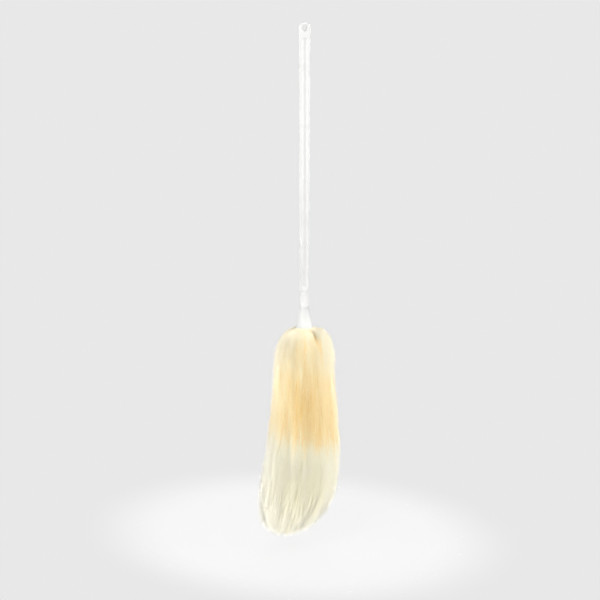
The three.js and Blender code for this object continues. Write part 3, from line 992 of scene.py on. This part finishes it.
def build_strands(lock_count, per_lock):
    """Locks spread evenly over the pile, each a bundle of strands that starts deep and comes out of it."""
    rng = np.random.default_rng(SIDE_SEED)
    first, second = even_spread(lock_count)
    lock_angle = 2 * math.pi * first
    reach = np.linspace(SIDE_START * MM, FULLEST_PATH - SIDE_STOP * MM, SIDE_SAMPLES)
    girth_here = np.interp(np.maximum(reach, SIDE_GIRTH_FROM * MM), PATH, PATH_WIDTH + PATH_DEPTH)
    density = np.where(reach < COLLAR_DENSE * MM, COLLAR_DENSITY, 1.0)
    spread = np.cumsum(density * girth_here)
    lock_path = np.interp(second, spread / spread[-1], reach)
    lock_length = rng.uniform(*LOCK_LENGTH, lock_count) * MM
    lock_drift = rng.normal(*LOCK_DRIFT, lock_count) * MM
    lock_lift = rng.normal(*LOCK_LIFT, lock_count) * MM
    lock_tone = rng.normal(*LOCK_TONE, lock_count)
    lock_width = rng.uniform(*LOCK_WIDTH, lock_count) * MM
    lock_gather = rng.uniform(*LOCK_GATHER, lock_count)

    parent = np.repeat(np.arange(lock_count), per_lock)
    count = len(parent)
    stray = rng.random(count) < STRAY_SHARE
    fine = stray | (rng.random(count) < FINE_SHARE)
    side = rng.normal(0.0, 1.0, count) * lock_width[parent]
    start = lock_path[parent] + rng.uniform(*STRAND_START, count) * MM
    start = np.maximum(start, PATH[0] * rng.random(count))
    length = lock_length[parent] * rng.uniform(*STRAND_LENGTH, count)
    end = np.minimum(start + length, FULLEST_PATH + rng.uniform(*STRAND_END, count) * MM)
    length = end - start
    keep = length > STRAND_SHORTEST * MM
    root = rng.uniform(*STRAND_ROOT, count) * MM
    root = np.minimum(root, ROOT_AT_TOP * MM + ROOT_DEEPENING * np.maximum(start, 0.0))
    lift = lock_lift[parent] + rng.normal(*STRAND_LIFT, count) * MM
    low_stray, high_stray = STRAY_LIFT
    stray_lift = low_stray + (high_stray - low_stray) * rng.random(count) ** FINE_BIAS
    lift = np.where(stray, stray_lift * MM, lift)

    t = STATIONS[None, :]
    path = start[:, None] + length[:, None] * t
    level = np.interp(path, PATH, PATH_LEVEL)
    radius = 0.5 * (np.interp(path, PATH, PATH_WIDTH) + np.interp(path, PATH, PATH_DEPTH))
    gather = 1.0 - lock_gather[parent][:, None] * t ** GATHER_CURVE
    crimp_size = rng.uniform(*CRIMP_SIZE, count)[:, None] * MM
    crimp_start = rng.uniform(*CRIMP_START, count)[:, None]
    crimp = crimp_size * np.sin(crimp_start + rng.uniform(*CRIMP_WAVES, count)[:, None] * t)
    shift = side[:, None] * gather + lock_drift[parent][:, None] * t * t + crimp
    angle = lock_angle[parent][:, None] + shift / radius
    surface = pile_point(angle, path, dome_share(level))
    normal = pile_normal(angle, path)
    # The marks raise or sink the strands, and their painted highlight and shade go into the strands' tone
    swell, painted_shading = marks_at(angle, path)
    inwards = root[:, None] * (1.0 - t) ** ROOT_CURVE - lift[:, None] * t * t
    inwards = inwards - swell * np.minimum(1.0, MARK_ONSET * t)
    strands = {
        "centres": surface - inwards[..., None] * normal,
        "normals": normal,
        "girth": np.where(fine, FINE_GIRTH, rng.uniform(*COARSE_GIRTH, count)) * MM,
        "flatness": np.where(fine, 1.0, COARSE_FLATNESS),
        "tone": painted_shading + (lock_tone[parent] + FINE_PALER * stray + rng.normal(*STRAND_TONE, count))[:, None],
        "turn": rng.normal(*STRAND_TURN, count),
        "noise": rng.normal(0.0, 1.0, count),
    }
    return pick(strands, keep)


def build_end_strands(lock_count, per_lock):
    """Locks that hang inside the rounded end and show only their tips there."""
    rng = np.random.default_rng(END_SEED)
    first, second = even_spread(lock_count)
    lock_angle = 2 * math.pi * first
    lock_share = np.sqrt(second) * END_SPREAD
    lock_tone = rng.normal(*END_LOCK_TONE, lock_count)
    lock_shift = rng.normal(*END_LOCK_SHIFT, (lock_count, 2)) * MM
    lock_drop = rng.normal(*END_LOCK_DROP, lock_count) * MM
    parent = np.repeat(np.arange(lock_count), per_lock)
    count = len(parent)
    share = lock_share[parent]
    fall = (1.0 - share ** DOME_FULLNESS) ** (1.0 / DOME_FULLNESS)
    fine = rng.random(count) < END_FINE_SHARE
    end_level = FULLEST - DOME_HEIGHT * fall + lock_drop[parent] + rng.normal(*END_RISE, count) * MM
    end_level -= np.where(fine, END_FINE_DROP * rng.random(count) ** FINE_BIAS, 0.0) * MM
    length = rng.uniform(*END_LENGTH, count) * MM
    t = STATIONS[None, :]
    level = end_level[:, None] + length[:, None] * (1.0 - t)
    path = path_at(level)
    angle = np.broadcast_to(lock_angle[parent][:, None], path.shape)
    centres = pile_point(angle, path, share[:, None])
    gather = 1.0 - END_GATHER * t
    for axis in (0, 1):
        offset = rng.normal(*END_OFFSET, count) * MM
        centres[..., axis] += offset[:, None] * gather + lock_shift[parent, axis][:, None] * t * t
    downwards = -END_FACING * np.broadcast_to(fall[:, None], path.shape)
    facing = np.stack([np.cos(angle), np.sin(angle), downwards], axis=-1)
    # Painted highlight and shade of the marks, in the end strands' tone
    _, painted_shading = marks_at(angle, path)
    return {
        "centres": centres,
        "normals": unit(facing),
        "girth": np.where(fine, FINE_GIRTH, rng.uniform(*END_COARSE_GIRTH, count)) * MM,
        "flatness": np.where(fine, 1.0, END_COARSE_FLATNESS),
        "tone": painted_shading + (lock_tone[parent] + FINE_PALER * fine + rng.normal(*STRAND_TONE, count))[:, None],
        "turn": rng.normal(*END_TURN, count),
        "noise": rng.normal(0.0, 1.0, count),
    }


def pick(strands, chosen):
    return {name: values[chosen] for name, values in strands.items()}


def split_colours(strands):
    """True for strands of the gold strip: those that lie mostly above the meeting of the colours."""
    start = strands["centres"][:, 0, 2]
    reach = strands["centres"][:, -1, 2] - start
    lower_part = start + SPLIT_SHARE * reach
    border = meeting(strands["centres"][:, SPLIT_STATION, 0])
    return lower_part > border + MEETING_RISE + MEETING_SCATTER * strands["noise"]


# Tones on the dye card, where nothing is the deepest and one the palest. Besides the wool's own colours
# they
# hold painted light: paler sides, a paler end, and the marks' painted highlight and shade
GOLD_DOWN = (0.0, 0.09, 0.15, 0.28, 0.41, 0.6, 1.0)
GOLD_TONE = (0.92, 0.68, 0.6, 0.54, 0.38, 0.3, 0.28)
GOLD_FADE_PALER = 0.55
# Painted light: how much paler the sides of the gold are
GOLD_EDGE_PAINTED_LIGHT = 0.3
CREAM_TONE = 0.27
# Painted light: how much paler the sides and the rounded end of the cream are
CREAM_EDGE_PAINTED_LIGHT = 0.4
CREAM_TIP_PAINTED_LIGHT = 0.4
TONE_LIMITS = (0.02, 0.96)
FLEECE_ALONG = 0.3

# Faint streaks down the fleece: how many go round it, and how far they turn per metre of level
STREAKS = ((57, 40.0), (31, -65.0))
STREAK_TONE = 0.05


def edge_on(strands):
    """Nothing in front and behind, and one at the sides, where the wool is painted paler as painted light.
    """
    x, y, level = np.moveaxis(strands["centres"], -1, 0)
    return 1.0 - np.abs(y) / np.hypot(x - lean(level), y)


def gold_tone(strands):
    """Pale under the ferrule and deeper further down, fading into the cream, with painted light that makes
    the sides paler than the front and back.
    """
    x, _, level = np.moveaxis(strands["centres"], -1, 0)
    tone = np.interp((WOOL_TOP - level) / (WOOL_TOP - MEETING_LEVEL), GOLD_DOWN, GOLD_TONE)
    fade = np.clip(1.0 - (level - meeting(x)) / MEETING_FADE, 0.0, 1.0)
    # Painted light on the sides, beside the fade into the cream
    tone = tone + GOLD_FADE_PALER * fade + GOLD_EDGE_PAINTED_LIGHT * edge_on(strands)
    return np.clip(tone + strands["tone"], *TONE_LIMITS)


def cream_tone(strands):
    """Paler towards the edges and the tip: painted light on the sides, and painted light from the pool
    below on the end.
    """
    level = strands["centres"][..., 2]
    near_tip = np.clip((FULLEST - level) / DOME_HEIGHT, 0.0, 1.0)
    # Painted light on the sides and the end
    tone = CREAM_TONE + CREAM_EDGE_PAINTED_LIGHT * edge_on(strands) + CREAM_TIP_PAINTED_LIGHT * near_tip
    return np.clip(tone + strands["tone"], *TONE_LIMITS)


def add_tiers(name, strands, tone, material, node, tiers):
    """The strands in tiers from top to bottom, each one piece, with the node's own part hidden."""
    order = np.argsort(-strands["centres"][:, 0, 2], kind="stable")
    for number, part in enumerate(np.array_split(order, tiers), start=1):
        piece = strand_mesh(f"{name}_tier_{number}", pick(strands, part), tone[part])
        finish_piece(piece, material, node)


# Fleece under the strands

def fleece_places(points):
    """Points of a unit ball moved to the form of the pile, a little way in."""
    angle = np.arctan2(points[:, 1], points[:, 0])
    down = np.arccos(np.clip(points[:, 2], -1.0, 1.0)) / math.pi
    top, bottom = WOOL_TOP - FLEECE_TOP_DROP, WOOL_TIP + FLEECE_END_RISE
    level = top + (bottom - top) * down
    path = path_at(level)
    share = dome_share(level - FLEECE_END_RISE)
    closing = np.minimum(1.0, np.sin(down * math.pi) * FLEECE_END_OPENING)
    width = np.maximum(np.interp(path, PATH, PATH_WIDTH) * share - FLEECE_INSET, 0.0) * closing
    depth = np.maximum(np.interp(path, PATH, PATH_DEPTH) * share - FLEECE_INSET, 0.0) * closing
    x = lean(level) + width * np.cos(angle)
    y = depth * np.sin(angle)
    swell, _ = marks_at(angle, path)
    return np.stack([x, y, level], axis=-1) + swell[:, None] * pile_normal(angle, path)


def vertex_places(mesh):
    return np.array([vertex.co for vertex in mesh.vertices])


def under_fleece(name, above, tone_of, material, node):
    """The dense wool under the locks: a ball drawn to the form of the pile, cut where the colours meet, and
    bored for the core. It takes its colour, painted light and shade included, from the same card as the
    locks over it."""
    deselect_all()
    bpy.ops.mesh.primitive_uv_sphere_add(segments=FLEECE_SIDES, ring_count=FLEECE_RINGS, radius=1.0)
    piece = bpy.context.object
    rename(piece, name)
    for vertex, place in zip(piece.data.vertices, fleece_places(vertex_places(piece.data))):
        vertex.co = place
    enter_edit(piece)
    bpy.ops.mesh.select_all(action="SELECT")
    bpy.ops.mesh.bisect(
        plane_co=(0, 0, MEETING_LEVEL + FLEECE_MEETING_RISE), plane_no=(MEETING_SLOPE, 0, 1),
        clear_inner=above, clear_outer=not above, use_fill=True,
    )
    leave_edit()
    bpy.ops.mesh.primitive_cylinder_add(
        vertices=PILE_BORE_SIDES, radius=PILE_BORE, depth=PILE_BORE_LENGTH,
        location=(0, 0, PILE_BORE_END + PILE_BORE_LENGTH / 2),
    )
    combine(piece, bpy.context.object, "DIFFERENCE")
    make_active(piece)
    bpy.ops.object.shade_smooth_by_angle(angle=math.radians(50))
    dye_and_shade_fleece(piece.data, tone_of)
    finish_piece(piece, material, node)


def dye_and_shade_fleece(mesh, tone_of):
    """Lay the fleece on the dye card by the tone of the locks there, painted light and shade included, with
    faint streaks down it.
    """
    points = vertex_places(mesh)
    level = points[:, 2]
    angle = np.arctan2(points[:, 1], points[:, 0] - lean(level))
    # Painted highlight and shade of the marks, in the fleece's tone
    _, painted_shading = marks_at(angle, path_at(level))
    streaks = sum(STREAK_TONE * np.sin(waves * angle + twist * level) for waves, twist in STREAKS)
    tone = tone_of({"centres": points[:, None, :], "tone": (painted_shading + streaks)[:, None]})[:, 0]
    corner_points = np.empty(len(mesh.loops), dtype=np.int32)
    mesh.loops.foreach_get("vertex_index", corner_points)
    while mesh.uv_layers:
        mesh.uv_layers.remove(mesh.uv_layers[0])
    lay_on_card(mesh, tone[corner_points], np.full(len(corner_points), FLEECE_ALONG))


# The duster: handle, ferrule and wool

handle()
ferrule()

LOCKS = 1350
END_LOCKS = 560
side_strands = build_strands(LOCKS, per_lock=30)
end_strands = build_end_strands(END_LOCKS, per_lock=20)
is_gold = split_colours(side_strands)
gold_strands = pick(side_strands, is_gold)
side_cream = pick(side_strands, ~is_gold)
cream_strands = {name: np.concatenate([side_cream[name], end_strands[name]]) for name in side_cream}
add_tiers("gold_wool_locks", gold_strands, gold_tone(gold_strands), gold_fibre, "gold_wool", 4)
under_fleece("gold_under_fleece", True, gold_tone, gold_fibre, "gold_wool")
under_fleece("cream_under_fleece", False, cream_tone, cream_fibre, "cream_wool")
add_tiers("cream_wool_locks", cream_strands, cream_tone(cream_strands), cream_fibre, "cream_wool", 5)


# Inner pieces keep their solids

def dress(material, *names):
    for name in names:
        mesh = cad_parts[name].data
        mesh.materials.clear()
        mesh.materials.append(material)


dress(core_drab, "core_tube", "tip_plug")
dress(hide_skin, "gold_hide_strip", "cream_hide_strip")
dress(binding_thread, "neck_binding")
dress(
    tack_steel, "core_pin", "gold_strip_tack_top", "gold_strip_tack_bottom", "cream_strip_tack_top",
    "cream_strip_tack_bottom",
)


# Floor, light and camera

BACKDROP = srgb(232, 232, 232)
WHITE = (1.0, 1.0, 1.0, 1.0)
SOFT_LIGHT = 0.5
FLOOR_SIDES = 96


def seen_rays(tree):
    """One for rays of the camera, reflections and glass, and nothing for rays that light the object."""
    rays = add_node(tree, "ShaderNodeLightPath")
    seen = math_node(tree, "MAXIMUM", rays.outputs["Is Camera Ray"], rays.outputs["Is Glossy Ray"])
    return math_node(tree, "MAXIMUM", seen, rays.outputs["Is Transmission Ray"])


def mix_shaders(tree, factor, first, second):
    return add_node(tree, "ShaderNodeMixShader", {0: factor, 1: first, 2: second}).outputs["Shader"]


def background_world():
    """The grey of the backdrop to the camera and in reflections, and soft white light on the object."""
    world = bpy.data.worlds.new("studio")
    scene.world = world
    world.use_nodes = True
    tree = world.node_tree
    tree.nodes.clear()
    shown = add_node(tree, "ShaderNodeBackground", {"Color": BACKDROP, "Strength": 1.0})
    light = add_node(tree, "ShaderNodeBackground", {"Color": WHITE, "Strength": SOFT_LIGHT})
    choice = mix_shaders(tree, seen_rays(tree), light.outputs["Background"], shown.outputs["Background"])
    add_node(tree, "ShaderNodeOutputWorld", {"Surface": choice})


def floor_material():
    """A white pool of light that fades into the backdrop, on a floor that takes the object's shadow."""
    material = bpy.data.materials.new("pale_floor")
    material.use_nodes = True
    tree = material.node_tree
    tree.nodes.clear()
    place = add_node(tree, "ShaderNodeTexCoord").outputs["Object"]
    half_sizes = (POOL_HALF_WIDTH, POOL_HALF_DEPTH, 1.0)
    inputs = {"Vector": place, "Rotation": (0.0, 0.0, POOL_TURN), "Scale": half_sizes}
    squash = add_node(tree, "ShaderNodeMapping", vector_type="TEXTURE", inputs=inputs)
    far = add_node(tree, "ShaderNodeVectorMath", {0: squash.outputs["Vector"]}, operation="LENGTH")
    pool = remap(
        tree, far.outputs["Value"], POOL_FULL, POOL_EDGE, 1.0, 0.0, interpolation_type="SMOOTHSTEP"
    )
    glow = add_node(tree, "ShaderNodeEmission", {"Color": WHITE, "Strength": POOL_GLOW})
    grey = (FLOOR_GREY, FLOOR_GREY, FLOOR_GREY, 1.0)
    matt = add_node(tree, "ShaderNodeBsdfDiffuse", {"Color": grey})
    both = add_node(tree, "ShaderNodeAddShader", {0: glow.outputs["Emission"], 1: matt.outputs["BSDF"]})
    clear = add_node(tree, "ShaderNodeBsdfTransparent")
    shown = math_node(tree, "MULTIPLY", pool, seen_rays(tree))
    choice = mix_shaders(tree, shown, clear.outputs["BSDF"], both.outputs["Shader"])
    add_node(tree, "ShaderNodeOutputMaterial", {"Surface": choice})
    material.cycles.emission_sampling = "NONE"
    return material


def floor():
    deselect_all()
    bpy.ops.mesh.primitive_circle_add(
        vertices=FLOOR_SIDES, radius=FLOOR_RADIUS, fill_type="NGON", location=(0.0, FLOOR_BACK, FLOOR_LEVEL)
    )
    piece = bpy.context.object
    piece.name = "studio_floor"
    piece.data.materials.append(floor_material())


def area_light(name, place, aim, width, height, spread, power):
    """A soft panel aimed at a point. A spread below 180 degrees is a grid that keeps its light together."""
    lamp = bpy.data.lights.new(name, "AREA")
    lamp.shape = "RECTANGLE"
    lamp.size = width
    lamp.size_y = height
    lamp.energy = power
    lamp.spread = math.radians(spread)
    holder = bpy.data.objects.new(name, lamp)
    scene.collection.objects.link(holder)
    holder.visible_camera = False
    towards = np.array(aim) - np.array(place)
    tilt = math.atan2(math.hypot(towards[0], towards[1]), -towards[2])
    turn = math.atan2(towards[1], towards[0]) - math.pi / 2
    holder.location = place
    holder.rotation_euler = (tilt, 0.0, turn)


def camera():
    lens = bpy.data.cameras.new("camera")
    holder = bpy.data.objects.new("camera", lens)
    scene.collection.objects.link(holder)
    lens.sensor_width = SENSOR_WIDTH
    lens.lens = SENSOR_WIDTH * CAMERA_DISTANCE / FRAME_WIDTH
    lens.clip_end = CAMERA_REACH
    flat = math.cos(CAMERA_RISE)
    holder.location = (
        -AIM_LEFT * math.cos(CAMERA_TURN) + CAMERA_DISTANCE * flat * math.sin(CAMERA_TURN),
        -AIM_LEFT * math.sin(CAMERA_TURN) - CAMERA_DISTANCE * flat * math.cos(CAMERA_TURN),
        AIM_LEVEL + CAMERA_DISTANCE * math.sin(CAMERA_RISE),
    )
    holder.rotation_euler = (math.pi / 2 - CAMERA_RISE, 0.0, CAMERA_TURN)
    scene.camera = holder


background_world()
floor()

# Points that the lamps are aimed at
HANDLE_MIDDLE = (0.0, 0.0, -0.15)
RIGHT_SHOULDER = (0.045, -0.02, -0.44)
LEFT_SHOULDER = (-0.03, 0.0, -0.482)
GOLD_UPPER = (0.0, 0.0, -0.508)
WOOL_MIDDLE = (-0.01, 0.0, -0.56)
CREAM_MIDDLE = (-0.02, 0.0, -0.66)
WOOL_END = (-0.02, 0.0, -0.69)

# Lamps: name, place, aim, width, height, spread in degrees and power
area_light("key_panel", (-0.6, -1.3, 0.4), HANDLE_MIDDLE, 0.6, 0.8, 180, 9.7)
area_light("left_panel", (-1.1, -0.4, 0.05), HANDLE_MIDDLE, 0.3, 0.6, 40, 0.32)
area_light("right_panel", (1.1, -0.4, 0.05), HANDLE_MIDDLE, 0.3, 0.5, 36, 0.42)
area_light("shoulder_grid", (0.5, -0.5, -0.34), RIGHT_SHOULDER, 0.06, 0.06, 9, 0.008)
area_light("gold_grid", (0.05, -0.9, -0.63), GOLD_UPPER, 0.3, 0.15, 19, 0.041)
area_light("left_gold_grid", (-0.62, -0.25, -0.56), LEFT_SHOULDER, 0.1, 0.1, 16, 0.029)
area_light("right_gold_grid", (0.62, -0.25, -0.56), GOLD_UPPER, 0.1, 0.1, 20, 0.031)
area_light("end_grid", (0.4, -0.9, -0.7), CREAM_MIDDLE, 0.4, 0.2, 22, 0.09)
area_light("left_cream_grid", (-0.62, -0.22, -0.66), CREAM_MIDDLE, 0.2, 0.2, 26, 0.088)
area_light("right_cream_grid", (0.62, -0.22, -0.66), WOOL_END, 0.2, 0.2, 26, 0.075)
area_light("floor_bounce", (0.0, 0.03, -0.74), HANDLE_MIDDLE, 0.46, 0.56, 180, 0.36)
area_light("back_panel", (0.2, 1.0, 1.1), HANDLE_MIDDLE, 0.6, 0.6, 180, 4.0)
area_light("back_grid", (0.0, 1.2, -0.6), WOOL_MIDDLE, 0.4, 0.4, 24, 0.055)
camera()
